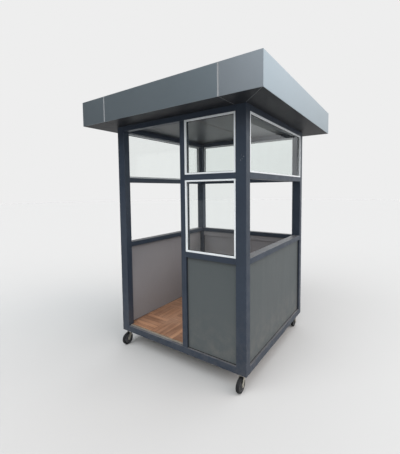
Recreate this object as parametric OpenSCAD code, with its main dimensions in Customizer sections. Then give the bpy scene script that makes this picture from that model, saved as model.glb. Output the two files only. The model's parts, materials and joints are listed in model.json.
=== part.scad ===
// Security guard booth: a post-and-rail frame on four swivel castors, with flat
// lower panels, fixed windows, an open doorway and a deep flat roof.
// Origin: on the ground under the middle of the booth. +Z up, front towards -Y.

/* [Body] */
// Width of the wall frame, left to right
body_w = 1500; // [1350:10:1900]
// Depth of the wall frame, front to back
body_d = 1500; // [1200:10:1900]
// Height of the wall frame, from its underside to the soffit
frame_h = 2190; // [1800:10:2650]

/* [Posts and rails] */
// Width of a corner post, left to right
post_w = 95; // [70:1:120]
// Depth of a corner post, front to back
post_d = 70; // [60:1:90]
// Clear width of the doorway
door_w = 745; // [600:5:900]
// Width of the post between the doorway and the front windows
door_post_w = 54; // [40:1:80]
// Height of the base rails
base_rail_h = 62; // [60:1:80]
// Height of the sill, middle and top rails
rail_h = 50; // [30:1:70]
// Depth of the front and back rails, from the outer face inwards
end_rail_d = 65; // [50:1:70]
// Depth of the side rails, from the outer face inwards
side_rail_d = 85; // [60:1:95]
// Underside of the sill rails above the frame's underside
sill_h = 918; // [700:1:1150]
// Underside of the middle rails above the frame's underside
mid_h = 1612; // [1350:1:1700]

/* [Panels] */
// Thickness of the lower panels
panel_t = 20; // [10:1:25]
// Step from the frame's outer face back to a panel
panel_inset = 22; // [10:1:30]
// Height of the batten on the inside of the back panel, right under its sill rail
batten_h = 62; // [30:1:100]
// Thickness of that batten
batten_t = 12; // [6:1:20]

/* [Windows] */
// Face width of a window bar
bar_w = 14; // [10:1:30]
// Depth of a window bar, from the frame's outer face inwards
bar_d = 30; // [25:1:45]
// Thickness of a glass pane
glass_t = 5; // [4:0.5:8]
// Step from the frame's outer face back to the glass
glass_inset = 19; // [5:1:20]
// Half of the gap left at a mitred bar corner, measured along a bar
bar_joint = 0.15; // [0.1:0.05:0.5]

/* [Floor] */
// Thickness of the floor board
floor_t = 18; // [12:1:20]
// Gap round the floor board
floor_gap = 0.5; // [0.3:0.1:3]
// Width of a floor joist
floor_joist_w = 40; // [30:1:60]
// Height of a floor joist
floor_joist_h = 38; // [20:1:40]
// Number of floor joists
floor_joists_n = 4; // [2:1:6]
// Thickness of the floor covering
covering_t = 3; // [2:0.5:5]
// Width of the threshold strip
threshold_w = 22; // [15:1:34]
// Thickness of the threshold strip
threshold_t = 4; // [3:0.5:6]
// Step from the frame's outer face back to the threshold strip
threshold_inset = 28; // [10:1:30]

/* [Roof] */
// Overhang of the roof beyond the wall frame
overhang = 240; // [120:5:350]
// Height of the fascia
fascia_h = 240; // [150:5:300]
// Thickness of a fascia sheet
fascia_t = 4; // [3:0.5:10]
// Thickness of the ceiling board and the soffit boards
soffit_t = 6; // [4:1:12]
// Half of the joint between two soffit boards, measured along a board
soffit_joint = 0.6; // [0.3:0.1:2]
// Thickness of the roof's edge beams
beam_t = 30; // [20:1:50]
// Width of a roof joist
roof_joist_w = 40; // [30:1:60]
// Number of roof joists
roof_joists_n = 4; // [3:1:7]
// Thickness of the roof sheet
sheet_t = 3; // [1:0.5:6]
// Height of the fascia above the roof sheet
parapet_h = 25; // [10:1:60]

/* [Castors] */
// Diameter of a castor wheel
wheel_d = 125; // [75:1:160]
// Width of the tyre
tyre_w = 30; // [24:1:34]
// Width of the wheel's hub
hub_w = 40; // [36:1:50]
// Radius of the wheel's axle
axle_r = 6; // [5:0.5:8]
// Horizontal distance from the swivel pin to the axle
trail = 40; // [30:1:50]
// Length of the castor's top plate, left to right
plate_l = 105; // [90:1:120]
// Width of the castor's top plate, front to back
plate_w = 85; // [70:1:90]
// Thickness of the castor's top plate
plate_t = 4; // [3:0.5:8]
// Step from the wall frame's outer faces in to the plate
plate_inset = 7; // [3:1:15]
// Height of the swivel head under the plate
head_h = 8; // [6:0.5:12]
// Radius of the swivel head
head_r = 28; // [24:1:34]
// Radius of the swivel pin
pin_r = 6; // [5:0.5:8]
// Thickness of the fork's crown and legs
fork_t = 4; // [3:0.5:5]
// Radius of the fork's lug round the axle
lug_r = 13; // [10:1:18]
// Height of the nut under the fork's crown
nut_h = 6; // [4:0.5:8]
// Radius of the nuts on the swivel pin and on the axle, over the corners
nut_r = 10; // [8.5:0.5:12]
// Clearance between the wheel and the crown above it
wheel_gap = 9; // [5:0.5:15]
// Radial clearance of a pin in its bore
pin_gap = 0.06; // [0.02:0.01:0.1]
// Gap between two flat faces that turn past each other
face_gap = 0.3; // [0.2:0.05:0.6]

/* [Hidden] */
$fn = 96;

// Wall numbers: each wall is drawn in its own frame and turned by 90 degrees a step.
FRONT = 0;
RIGHT = 1;
BACK = 2;
LEFT = 3;
WALLS = [FRONT, RIGHT, BACK, LEFT];

// Heights above the frame's underside
window_top = frame_h - rail_h;
sill_top = sill_h + rail_h;
mid_top = mid_h + rail_h;
sheet_z = frame_h + fascia_h - parapet_h - sheet_t;
beam_h = sheet_z - frame_h - soffit_t;

// The front bay, from the door post to the right post, in the front wall's frame
door_post_x = -body_w / 2 + post_w + door_w;
bay_x = door_post_x + door_post_w;
bay_end_x = body_w / 2 - post_w;

// Castor heights, downwards from the frame's underside
crown_z = -(plate_t + head_h + face_gap);
crown_bottom_z = crown_z - fork_t;
axle_z = crown_bottom_z - wheel_gap - wheel_d / 2;
castor_h = wheel_d / 2 - axle_z;
leg_x = hub_w / 2 + face_gap;
crown_r = head_r + 2;
corner_step = 1;

// Colours
STEEL_PAINT = [0.20, 0.23, 0.28];
PANEL_GREY = [0.38, 0.40, 0.42];
WINDOW_WHITE = [0.86, 0.87, 0.88];
GLASS = [0.75, 0.85, 0.88, 0.35];
FLOOR_WOOD = [0.50, 0.33, 0.22];
FASCIA_GREY = [0.45, 0.49, 0.54];
CEILING_GREY = [0.22, 0.23, 0.25];
ZINC = [0.62, 0.60, 0.54];
TYRE_BLACK = [0.10, 0.10, 0.11];

// ---- shared helpers ----

// Length of a wall between the outer faces of its two corner posts
function wall_len(wall) = wall % 2 == 0 ? body_w : body_d;
// Width of the corner posts as seen on a wall
function wall_post(wall) = wall % 2 == 0 ? post_w : post_d;
// Half of the clear width between a wall's corner posts
function clear_half(wall) = wall_len(wall) / 2 - wall_post(wall);
// Depth of a wall's rails
function rail_depth(wall) = wall % 2 == 0 ? end_rail_d : side_rail_d;

// Draws its children in a wall's own frame: X runs along the wall from left to
// right as seen from outside, Y runs inwards from its outer face, Z is height
// above the frame's underside.
module on_wall(wall)
    translate([0, 0, castor_h])
        rotate([0, 0, 90 * wall])
            translate([0, -wall_len(wall + 1) / 2, 0])
                children();

// A straight bar of a wall from x0 to x1, with its underside at z
module bar(x0, x1, z, h, d, inset = 0)
    translate([x0, inset, z])
        cube([x1 - x0, d, h]);

// A rail across a wall's whole clear width
module full_rail(wall, z, h)
    on_wall(wall)
        bar(-clear_half(wall), clear_half(wall), z, h, rail_depth(wall));

// A rail of the front bay
module bay_rail(z, h)
    on_wall(FRONT)
        bar(bay_x, bay_end_x, z, h, end_rail_d);

// A flat sheet lying outside a wall, between the distances near and far from it,
// with mitred ends set back by joint
module mitred_sheet(wall, near, far, z, h, joint = 0) {
    half = wall_len(wall) / 2;
    on_wall(wall)
        translate([0, 0, z])
            linear_extrude(h)
                polygon([
                    [-half - near + joint, -near],
                    [-half - far + joint, -far],
                    [half + far - joint, -far],
                    [half + near - joint, -near]
                ]);
}

// ---- posts and rails ----

module corner_post(side_x, side_y)
    color(STEEL_PAINT)
        translate([side_x * (body_w - post_w) / 2, side_y * (body_d - post_d) / 2, castor_h])
            translate([-post_w / 2, -post_d / 2, 0])
                cube([post_w, post_d, frame_h]);

// The door post stands on the base rail and carries the top rail.
module door_post()
    color(STEEL_PAINT)
        on_wall(FRONT)
            bar(door_post_x, bay_x, base_rail_h, window_top - base_rail_h, end_rail_d);

module base_rail(wall)
    color(STEEL_PAINT)
        full_rail(wall, 0, base_rail_h);

module sill_rail(wall)
    color(STEEL_PAINT)
        if (wall == FRONT) bay_rail(sill_h, rail_h);
        else full_rail(wall, sill_h, rail_h);

module mid_rails()
    color(STEEL_PAINT) {
        bay_rail(mid_h, rail_h);
        for (wall = [RIGHT, BACK, LEFT])
            full_rail(wall, mid_h, rail_h);
    }

module top_rails()
    color(STEEL_PAINT)
        for (wall = WALLS)
            full_rail(wall, window_top, rail_h);

// ---- panels ----

module lower_panel(wall)
    color(PANEL_GREY)
        on_wall(wall)
            bar(
                wall == FRONT ? bay_x : -clear_half(wall),
                wall == FRONT ? bay_end_x : clear_half(wall),
                base_rail_h, sill_h - base_rail_h, panel_t, panel_inset
            );

// A batten lies against the inside of the back panel, right under the sill rail.
module back_wall_batten()
    color(PANEL_GREY)
        on_wall(BACK)
            bar(
                -clear_half(BACK), clear_half(BACK), sill_h - batten_h, batten_h,
                batten_t, panel_inset + panel_t
            );

// ---- windows ----

// One mitred bar along the bottom of a bay of the given length
module window_bar(length)
    translate([0, bar_d, 0])
        rotate([90, 0, 0])
            linear_extrude(bar_d)
                polygon([
                    [bar_joint, 0],
                    [length - bar_joint, 0],
                    [length - bar_w - bar_joint, bar_w],
                    [bar_w + bar_joint, bar_w]
                ]);

// Four mitred bars round a bay of size w by h
module window_bars(w, h) {
    window_bar(w);
    translate([w, 0, h]) rotate([0, 180, 0]) window_bar(w);
    translate([0, 0, h]) rotate([0, 90, 0]) window_bar(h);
    translate([w, 0, 0]) rotate([0, -90, 0]) window_bar(h);
}

module window_frame(wall, x0, x1, z0, z1)
    color(WINDOW_WHITE)
        on_wall(wall)
            translate([x0, 0, z0])
                window_bars(x1 - x0, z1 - z0);

module pane(wall, x0, x1, z0, z1)
    on_wall(wall)
        bar(x0 + bar_w, x1 - bar_w, z0 + bar_w, z1 - z0 - 2 * bar_w, glass_t, glass_inset);

module window_frame_front_lower()
    window_frame(FRONT, bay_x, bay_end_x, sill_top, mid_h);

module window_frame_front_upper()
    window_frame(FRONT, bay_x, bay_end_x, mid_top, window_top);

// The upper window of the right, back or left wall
module window_frame_upper(wall)
    window_frame(wall, -clear_half(wall), clear_half(wall), mid_top, window_top);

module window_glass()
    color(GLASS) {
        pane(FRONT, bay_x, bay_end_x, sill_top, mid_h);
        pane(FRONT, bay_x, bay_end_x, mid_top, window_top);
        for (wall = [RIGHT, BACK, LEFT])
            pane(wall, -clear_half(wall), clear_half(wall), mid_top, window_top);
    }

// ---- floor ----

// The board lies between the base rails, notched round the corner posts, with
// its top level with theirs.
module floor_board() {
    half_x = body_w / 2 - side_rail_d - floor_gap;
    half_y = body_d / 2 - end_rail_d - floor_gap;
    notch_x = body_w / 2 - post_w - floor_gap;
    notch_y = body_d / 2 - post_d - floor_gap;
    color(FLOOR_WOOD)
        translate([0, 0, castor_h + base_rail_h - floor_t])
            linear_extrude(floor_t) {
                square([2 * half_x, 2 * min(half_y, notch_y)], center = true);
                square([2 * min(half_x, notch_x), 2 * half_y], center = true);
            }
}

// Joists run from side rail to side rail under the board.
module floor_joists() {
    span = body_w - 2 * side_rail_d;
    pitch = (body_d - 2 * end_rail_d) / (floor_joists_n + 1);
    color(STEEL_PAINT)
        for (i = [1 : floor_joists_n])
            translate([
                -span / 2,
                -body_d / 2 + end_rail_d + i * pitch - floor_joist_w / 2,
                castor_h + base_rail_h - floor_t - floor_joist_h
            ])
                cube([span, floor_joist_w, floor_joist_h]);
}

// The covering lies on the board and the base rails, out to the panels. It is cut round
// the posts, and stops at the threshold strip in the doorway.
module floor_covering() {
    reach = panel_inset + panel_t + floor_gap;
    color(FLOOR_WOOD)
        translate([0, 0, castor_h + base_rail_h])
            linear_extrude(covering_t)
                difference() {
                    square([body_w - 2 * reach, body_d - 2 * reach], center = true);
                    for (x = [-1, 1], y = [-1, 1])
                        translate([x * body_w / 2, y * body_d / 2])
                            square([2 * (post_w + floor_gap), 2 * (post_d + floor_gap)], center = true);
                    translate([door_post_x - floor_gap, -body_d / 2])
                        square([door_post_w + 2 * floor_gap, end_rail_d + floor_gap]);
                    translate([-body_w / 2, -body_d / 2])
                        square([body_w / 2 + door_post_x, threshold_inset + threshold_w + floor_gap]);
                }
}

// The strip lies on the front base rail, along the edge of the covering.
module threshold_strip()
    color([0.62, 0.56, 0.48])
        on_wall(FRONT)
            bar(
                -clear_half(FRONT), door_post_x, base_rail_h, threshold_t,
                threshold_w, threshold_inset
            );

// ---- roof ----

module ceiling_board()
    color(CEILING_GREY)
        translate([-body_w / 2, -body_d / 2, castor_h + frame_h])
            cube([body_w, body_d, soffit_t]);

module soffit_boards()
    color(CEILING_GREY)
        for (wall = WALLS)
            mitred_sheet(wall, soffit_joint, overhang - fascia_t, frame_h, soffit_t, soffit_joint);

module fascia(wall)
    color(FASCIA_GREY)
        mitred_sheet(wall, overhang - fascia_t, overhang, frame_h, fascia_h);

// Edge beams stand on the soffit boards, right behind the fascia.
module roof_edge_beams()
    color(ZINC)
        for (wall = WALLS)
            mitred_sheet(
                wall, overhang - fascia_t - beam_t, overhang - fascia_t,
                frame_h + soffit_t, beam_h, bar_joint
            );

// Roof joists run from the front edge beam to the back one. The outer two stand
// on the joints between the ceiling and the side soffits.
module roof_joists() {
    span = body_d + 2 * (overhang - fascia_t - beam_t);
    color(ZINC)
        for (i = [0 : roof_joists_n - 1])
            translate([
                -body_w / 2 + i * body_w / (roof_joists_n - 1) - roof_joist_w / 2,
                -span / 2,
                castor_h + frame_h + soffit_t
            ])
                cube([roof_joist_w, span, beam_h]);
}

module roof_sheet() {
    reach = overhang - fascia_t;
    color(ZINC)
        translate([-body_w / 2 - reach, -body_d / 2 - reach, castor_h + sheet_z])
            cube([body_w + 2 * reach, body_d + 2 * reach, sheet_t]);
}

// ---- castors ----

// Draws its children at a castor: the origin is on the swivel axis, at the wall
// frame's underside. The wheels trail towards the front.
module at_castor(side_x, side_y)
    translate([
        side_x * (body_w / 2 - plate_inset - plate_l / 2),
        side_y * (body_d / 2 - plate_inset - plate_w / 2),
        castor_h
    ])
        children();

// Top plate, swivel head, swivel pin and its nut
module castor_plate() {
    translate([-plate_l / 2, -plate_w / 2, -plate_t])
        cube([plate_l, plate_w, plate_t]);
    translate([0, 0, -plate_t - head_h])
        cylinder(h = head_h + plate_t / 2, r = head_r);
    translate([0, 0, crown_bottom_z - face_gap - nut_h])
        cylinder(h = nut_h - crown_bottom_z + face_gap - plate_t / 2, r = pin_r);
    translate([0, 0, crown_bottom_z - face_gap - nut_h])
        cylinder(h = nut_h, r = nut_r, $fn = 6);
}

module castor_plates()
    color(ZINC)
        for (side_x = [-1, 1], side_y = [-1, 1])
            at_castor(side_x, side_y)
                castor_plate();

// Outline of a fork leg, in the plane of the wheel: it tapers from the crown to
// the lug round the axle. Its corners stay a little inside the crown and the lug.
module leg_outline() {
    axle = [-trail, axle_z];
    top = [0, crown_z];
    along = (axle - top) / norm(axle - top);
    side = [-along[1], along[0]];
    half_top = sqrt(pow(crown_r, 2) - pow(leg_x + fork_t, 2)) - corner_step;
    half_lug = lug_r - corner_step;
    polygon([
        [half_top, crown_z],
        axle + half_lug * side,
        axle - half_lug * side,
        [-half_top, crown_z]
    ]);
    translate(axle)
        circle(r = lug_r);
}

module fork_leg(side_x)
    translate([side_x > 0 ? leg_x : -leg_x - fork_t, 0, 0])
        rotate([90, 0, 90])
            linear_extrude(fork_t)
                leg_outline();

// Crown with its bore, two legs, and the axle with a nut at each end
module castor_fork(side_x, side_y)
    color(ZINC)
        at_castor(side_x, side_y) {
            difference() {
                translate([0, 0, crown_bottom_z])
                    linear_extrude(fork_t)
                        intersection() {
                            circle(r = crown_r);
                            square([2 * (leg_x + fork_t), 2 * crown_r], center = true);
                        }
                translate([0, 0, crown_bottom_z - 1])
                    cylinder(h = fork_t + 2, r = pin_r + pin_gap);
            }
            fork_leg(1);
            fork_leg(-1);
            translate([0, -trail, axle_z])
                rotate([0, 90, 0]) {
                    cylinder(h = 2 * (leg_x + fork_t), r = axle_r, center = true);
                    for (side = [-1, 1])
                        translate([0, 0, side * (leg_x + fork_t + nut_h / 2)])
                            cylinder(h = nut_h, r = nut_r, center = true, $fn = 6);
                }
        }

// Half section of the wheel: bore, hub, web, rim and a tyre with round shoulders
function shoulder(r, x, round, from) = [
    for (i = [0 : 4])
        [r - round + round * cos(from + 22.5 * i), x + round * sin(from + 22.5 * i)]
];

module castor_wheel(side_x, side_y) {
    bore_r = axle_r + pin_gap;
    tyre_r = wheel_d / 2;
    hub_r = bore_r + 9;
    rim_r = tyre_r - 18;
    web = tyre_w / 4;
    round = tyre_w / 5;
    color(TYRE_BLACK)
        at_castor(side_x, side_y)
            translate([0, -trail, axle_z])
                rotate([0, 90, 0])
                    rotate_extrude()
                        polygon(concat(
                            [
                                [bore_r, -hub_w / 2],
                                [hub_r, -hub_w / 2],
                                [hub_r + 2, -web],
                                [rim_r - 3, -web],
                                [rim_r, -tyre_w / 2]
                            ],
                            shoulder(tyre_r, -tyre_w / 2 + round, round, -90),
                            shoulder(tyre_r, tyre_w / 2 - round, round, 0),
                            [
                                [rim_r, tyre_w / 2],
                                [rim_r - 3, web],
                                [hub_r + 2, web],
                                [hub_r, hub_w / 2],
                                [bore_r, hub_w / 2]
                            ]
                        ));
}

// ---- nodes ----

corner_post(-1, -1);  // post_front_left
corner_post(1, -1);  // post_front_right
corner_post(-1, 1);  // post_back_left
corner_post(1, 1);  // post_back_right
door_post();
base_rail(FRONT);  // base_rail_front
base_rail(RIGHT);  // base_rail_right
base_rail(BACK);  // base_rail_back
base_rail(LEFT);  // base_rail_left
sill_rail(FRONT);  // sill_rail_front
sill_rail(RIGHT);  // sill_rail_right
sill_rail(BACK);  // sill_rail_back
sill_rail(LEFT);  // sill_rail_left
mid_rails();
top_rails();
lower_panel(FRONT);  // lower_panel_front
lower_panel(RIGHT);  // lower_panel_right
lower_panel(BACK);  // lower_panel_back
lower_panel(LEFT);  // lower_panel_left
back_wall_batten();
window_frame_front_lower();
window_frame_front_upper();
window_frame_upper(RIGHT);  // window_frame_right
window_frame_upper(BACK);  // window_frame_back
window_frame_upper(LEFT);  // window_frame_left
window_glass();
floor_board();
floor_joists();
floor_covering();
threshold_strip();
ceiling_board();
soffit_boards();
fascia(FRONT);  // fascia_front
fascia(RIGHT);  // fascia_right
fascia(BACK);  // fascia_back
fascia(LEFT);  // fascia_left
roof_edge_beams();
roof_joists();
roof_sheet();
castor_plates();
castor_fork(-1, -1);  // castor_fork_front_left
castor_fork(1, -1);  // castor_fork_front_right
castor_fork(-1, 1);  // castor_fork_back_left
castor_fork(1, 1);  // castor_fork_back_right
castor_wheel(-1, -1);  // castor_wheel_front_left
castor_wheel(1, -1);  // castor_wheel_front_right
castor_wheel(-1, 1);  // castor_wheel_back_left
castor_wheel(1, 1);  // castor_wheel_back_right
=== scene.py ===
import json
import math
import random

import bmesh
import bpy
from mathutils import Matrix, Vector
from mathutils.geometry import convex_hull_2d


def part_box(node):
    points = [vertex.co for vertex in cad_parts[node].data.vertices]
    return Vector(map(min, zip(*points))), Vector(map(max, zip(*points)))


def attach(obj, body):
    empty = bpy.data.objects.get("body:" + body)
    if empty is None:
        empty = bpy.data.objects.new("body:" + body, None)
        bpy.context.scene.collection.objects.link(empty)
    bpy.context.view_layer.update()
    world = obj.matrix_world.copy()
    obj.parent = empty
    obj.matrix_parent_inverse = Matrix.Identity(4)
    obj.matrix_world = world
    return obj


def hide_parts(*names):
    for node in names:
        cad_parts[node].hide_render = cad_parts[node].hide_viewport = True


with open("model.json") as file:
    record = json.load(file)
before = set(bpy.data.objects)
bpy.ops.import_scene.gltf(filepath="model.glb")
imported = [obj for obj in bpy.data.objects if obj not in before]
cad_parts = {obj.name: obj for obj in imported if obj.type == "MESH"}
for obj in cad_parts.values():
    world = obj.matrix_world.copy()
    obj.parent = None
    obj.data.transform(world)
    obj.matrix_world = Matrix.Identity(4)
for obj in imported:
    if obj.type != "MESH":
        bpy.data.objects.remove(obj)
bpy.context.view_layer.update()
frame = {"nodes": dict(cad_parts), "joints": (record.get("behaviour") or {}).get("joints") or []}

# The looks of a small guard booth on castors. Everything is in metres, in the CAD
# frame: origin on the ground under the middle, front towards -Y, +Z up.

MM = 0.001
NODES = frame["nodes"]
rng = random.Random(41)

# ---- places read from the CAD frame ----

WALLS = ("front", "right", "back", "left")
POST_LO, POST_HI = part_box("post_front_left")
POST_W = POST_HI.x - POST_LO.x
POST_D = POST_HI.y - POST_LO.y
BASE_Z = POST_LO.z
SOFFIT_Z = POST_HI.z
HALF_W = -POST_LO.x
HALF_D = -POST_LO.y
FASCIA_LO, FASCIA_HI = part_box("fascia_front")
ROOF_HALF = FASCIA_HI.x
FASCIA_T = FASCIA_HI.y - FASCIA_LO.y
ROOF_TOP = FASCIA_HI.z
SHEET_LO, SHEET_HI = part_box("roof_sheet")
SOFFIT_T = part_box("soffit_boards")[1].z - SOFFIT_Z
PANE_T = 5 * MM
CORNERS = {
    "front_left": (-1, -1),
    "front_right": (1, -1),
    "back_left": (-1, 1),
    "back_right": (1, 1),
}
ACROSS = ("front", "back")
# from the booth's middle to a wall's outer face, and half the wall's length
REACH = {wall: HALF_D if wall in ACROSS else HALF_W for wall in WALLS}
HALF_LONG = {wall: HALF_W if wall in ACROSS else HALF_D for wall in WALLS}
FINGERS = 5
SQUARE = 0.300


def wall_matrix(wall):
    """From a wall's own frame to the booth's: X along the wall from left to right as seen
    from outside, Y inwards from the outer face, Z up from the ground."""
    turn = Matrix.Rotation(math.radians(90 * WALLS.index(wall)), 4, "Z")
    return turn @ Matrix.Translation((0, -REACH[wall], 0))


def in_wall(wall, node):
    """The box of a node in a wall's own frame."""
    back = wall_matrix(wall).inverted()
    a, b = (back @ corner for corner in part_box(node))
    lo = Vector(min(pair) for pair in zip(a, b))
    hi = Vector(max(pair) for pair in zip(a, b))
    return lo, hi


# ---- materials ----

class Nodes:
    """A node tree, with short ways to add to it."""

    def __init__(self, tree):
        self.tree = tree
        self.coords = self.node("ShaderNodeTexCoord")

    def feed(self, socket, value):
        """Sets a socket to a value, or links an output to it."""
        if isinstance(value, bpy.types.NodeSocket):
            self.tree.links.new(value, socket)
        elif isinstance(value, tuple) and socket.type == "RGBA":
            socket.default_value = (*value, 1.0)
        else:
            socket.default_value = value

    def node(self, kind, inputs=None, **settings):
        """Adds a node. inputs gives what feeds its sockets, by name or number."""
        made = self.tree.nodes.new(kind)
        for key, value in settings.items():
            setattr(made, key, value)
        for key, value in (inputs or {}).items():
            self.feed(made.inputs[key], value)
        return made

    def ramp(self, value, low, high, out_low=0.0, out_high=1.0):
        made = self.node("ShaderNodeMapRange", {
            "Value": value, "From Min": low, "From Max": high, "To Min": out_low, "To Max": out_high,
        })
        return made.outputs["Result"]

    def maths(self, operation, a, b):
        return self.node("ShaderNodeMath", {0: a, 1: b}, operation=operation).outputs["Value"]

    def xyz(self, vector):
        split = self.node("ShaderNodeSeparateXYZ", {"Vector": vector})
        return tuple(split.outputs[axis] for axis in "XYZ")

    def seen(self):
        """1 where the camera itself looks, 0 for light that bounces."""
        return self.node("ShaderNodeLightPath").outputs["Is Camera Ray"]

    def blend(self, factor, a, b):
        """Shader a mixed with shader b."""
        return self.node("ShaderNodeMixShader", {0: factor, 1: a, 2: b}).outputs["Shader"]

    def show(self, shader):
        """Makes a shader the one that the tree puts out."""
        out = next(n for n in self.tree.nodes if n.type.startswith("OUTPUT_"))
        self.feed(out.inputs["Surface"], shader)


class Surface(Nodes):
    """A Principled material whose colour, roughness and bump come from nodes."""

    def __init__(self, name):
        self.mat = bpy.data.materials.new(name)
        self.mat.use_nodes = True
        super().__init__(self.mat.node_tree)
        self.bsdf = self.tree.nodes["Principled BSDF"]
        self.bump_out = None

    def plain(self, **values):
        for key, value in values.items():
            self.feed(self.bsdf.inputs[key.replace("_", " ")], value)

    def mapped(self, scale):
        place = {"Scale": scale, "Vector": self.coords.outputs["Object"]}
        return self.node("ShaderNodeMapping", place).outputs["Vector"]

    def noise(self, scale, detail=3.0, rough=0.5, vector=None, distortion=0.0):
        made = self.node("ShaderNodeTexNoise", {
            "Scale": scale, "Detail": detail, "Roughness": rough, "Distortion": distortion,
            "Vector": vector or self.coords.outputs["Object"],
        })
        return made.outputs["Fac"]

    def mix(self, factor, a, b):
        """Colour a mixed with colour b. 6, 7 and 2 are the node's colour sockets."""
        return self.node("ShaderNodeMix", {0: factor, 6: a, 7: b}, data_type="RGBA").outputs[2]

    def geometry(self, output):
        return self.node("ShaderNodeNewGeometry").outputs[output]

    def height(self):
        """Height above the ground, in metres."""
        return self.xyz(self.coords.outputs["Object"])[2]

    def upward(self):
        """1 on level faces that look up, 0 on the rest."""
        return self.ramp(self.xyz(self.geometry("Normal"))[2], 0.6, 0.95)

    def edges(self, radius):
        """0 on flat stretches and up to 1 along edges within radius of them."""
        bevel = self.node("ShaderNodeBevel", {"Radius": radius}, samples=4)
        normals = {0: bevel.outputs["Normal"], 1: self.geometry("Normal")}
        dot = self.node("ShaderNodeVectorMath", normals, operation="DOT_PRODUCT")
        return self.ramp(dot.outputs["Value"], 0.995, 0.85)

    def bump(self, value, strength, distance):
        """Adds a bump on top of the ones before it."""
        made = self.node("ShaderNodeBump", {"Strength": strength, "Distance": distance, "Height": value})
        if self.bump_out is not None:
            self.feed(made.inputs["Normal"], self.bump_out)
        self.bump_out = made.outputs["Normal"]

    def finish(self, colour, roughness):
        self.plain(Base_Color=colour, Roughness=roughness)
        if self.bump_out is not None:
            self.plain(Normal=self.bump_out)
        return self.mat


def painted_steel(name, dark, light, chip, rough=0.42, wear=0.6):
    """Sprayed paint: slow tone changes, orange peel, road dust low down, worn edges."""
    s = Surface(name)
    tone = s.ramp(s.noise(5.0, 8.0, 0.65), 0.30, 0.70)
    colour = s.mix(tone, dark, light)
    low = s.ramp(s.height(), 0.75, 0.12)
    dust = s.maths("MULTIPLY", low, s.ramp(s.noise(16.0, 10.0, 0.72), 0.40, 0.75, 0.0, 0.26))
    colour = s.mix(dust, colour, (0.20, 0.18, 0.16))
    # faces that look up are made a lighter neutral grey in patches
    lighter_when_level = s.maths("MULTIPLY", s.upward(), s.ramp(s.noise(7.0, 6.0, 0.6), 0.30, 0.62, 0.35, 0.85))
    colour = s.mix(lighter_when_level, colour, (0.150, 0.148, 0.150))
    scuff = s.noise(26.0, 6.0, 0.7, s.mapped((1.0, 1.0, 0.25)))
    scuffs = s.ramp(scuff, 0.70, 0.78, 0.0, 0.22)
    colour = s.mix(scuffs, colour, chip)
    rubbed = s.maths("MULTIPLY", s.edges(0.003), s.ramp(s.noise(34.0, 4.0), 0.47, 0.62, 0.0, wear))
    colour = s.mix(rubbed, colour, chip)
    s.bump(s.noise(420.0, 2.0), 0.10, 0.0006)
    s.bump(s.noise(3.0, 2.0), 0.12, 0.0010)
    s.plain(Specular_IOR_Level=0.45)
    return s.finish(colour, s.ramp(s.noise(14.0, 4.0), 0.3, 0.7, rough - 0.07, rough + 0.10))


def panel_skin(name, dark, light):
    """Satin skin of a foam-cored panel: faint mottling, wiped smears and slight waviness."""
    s = Surface(name)
    pale = tuple(1.5 * c for c in light)
    colour = s.mix(s.ramp(s.noise(1.4, 4.0), 0.3, 0.7), dark, light)
    grain = s.noise(240.0, 3.0, 0.6)
    colour = s.mix(s.ramp(grain, 0.35, 0.65, 0.0, 0.16), colour, pale)
    smear = s.noise(5.0, 6.0, 0.7, s.mapped((1.0, 1.0, 0.18)), 0.6)
    colour = s.mix(s.ramp(smear, 0.56, 0.72, 0.0, 0.16), colour, pale)
    low = s.ramp(s.height(), 0.62, 0.2)
    dust = s.maths("MULTIPLY", low, s.ramp(s.noise(12.0, 6.0, 0.65), 0.42, 0.7, 0.0, 0.30))
    colour = s.mix(dust, colour, (0.24, 0.215, 0.19))
    s.bump(grain, 0.10, 0.0004)
    s.bump(s.noise(1.7, 1.0), 0.35, 0.006)
    s.plain(Specular_IOR_Level=0.22)
    return s.finish(colour, s.ramp(smear, 0.3, 0.75, 0.40, 0.56))


def window_white():
    """Powder-coated white bars, with grime in the corners and along the edges."""
    s = Surface("window_powder_white")
    colour = s.mix(s.ramp(s.noise(6.0, 4.0), 0.3, 0.7), (0.74, 0.780, 0.805), (0.82, 0.850, 0.870))
    grime = s.maths("MULTIPLY", s.edges(0.0025), s.ramp(s.noise(48.0, 4.0), 0.45, 0.65, 0.0, 0.35))
    colour = s.mix(grime, colour, (0.36, 0.35, 0.33))
    s.bump(s.noise(620.0, 2.0), 0.08, 0.0004)
    return s.finish(colour, s.ramp(s.noise(20.0, 3.0), 0.3, 0.7, 0.28, 0.40))


def window_glass():
    """Float glass: clear with a green cast, mirroring by Fresnel, with a thin dusty film."""
    s = Surface("float_glass")
    clear = s.node("ShaderNodeBsdfTransparent", {"Color": (0.965, 0.982, 0.976)})
    gloss = s.node("ShaderNodeBsdfGlossy", {"Roughness": 0.03})
    film = s.node("ShaderNodeBsdfDiffuse", {"Color": (0.72, 0.74, 0.73)})
    fresnel = s.node("ShaderNodeFresnel", {"IOR": 1.5})
    front = s.maths("SUBTRACT", 1.0, s.geometry("Backfacing"))
    shine = s.maths("MULTIPLY", fresnel.outputs["Fac"], front)
    mirror = s.blend(shine, clear.outputs["BSDF"], gloss.outputs["BSDF"])
    dust = s.ramp(s.noise(7.0, 6.0, 0.7, s.mapped((1, 1, 0.5))), 0.45, 0.8, 0.001, 0.014)
    s.tree.nodes.remove(s.bsdf)
    s.show(s.blend(dust, mirror, film.outputs["BSDF"]))
    return s.mat


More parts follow.
